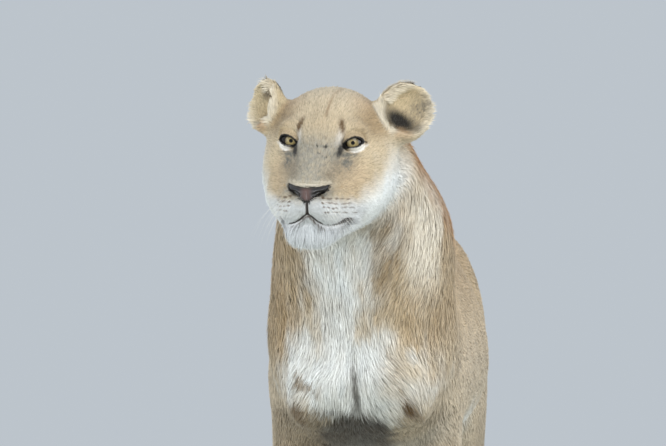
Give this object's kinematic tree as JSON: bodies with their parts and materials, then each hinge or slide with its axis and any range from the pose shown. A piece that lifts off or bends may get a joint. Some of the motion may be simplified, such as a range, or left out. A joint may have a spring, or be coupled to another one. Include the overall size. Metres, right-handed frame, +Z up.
{
  "type": "lioness",
  "caption": "Life-size lioness standing on four feet with the head raised and turned slightly to one side, tail hanging, mouth closed.",
  "frame": {"origin": "on the floor, under the middle of the bounding box", "axes": "+Z up, -Y the way the body faces, +X the animal's left"},
  "size_m": [0.3654, 1.7314, 1.1141],
  "materials": {
    "coat": "short tawny fur, paler below",
    "eye": "wet amber eye with a round pupil",
    "nose_leather": "moist dark pink-brown skin"
  },
  "bodies": {
    "root": {"head": "coat", "left_ear": "coat", "right_ear": "coat", "left_eye": "eye", "right_eye": "eye", "nose": "nose_leather", "neck": "coat", "trunk": "coat", "tail_lower": "coat", "tail_tuft": "coat", "left_upper_foreleg": "coat", "left_forearm": "coat", "left_forepaw": "coat", "left_thigh": "coat", "left_shank": "coat", "left_hind_paw": "coat", "right_upper_foreleg": "coat", "right_forearm": "coat", "right_forepaw": "coat", "right_thigh": "coat", "right_shank": "coat", "right_hind_paw": "coat"}
  },
  "joints": []
}
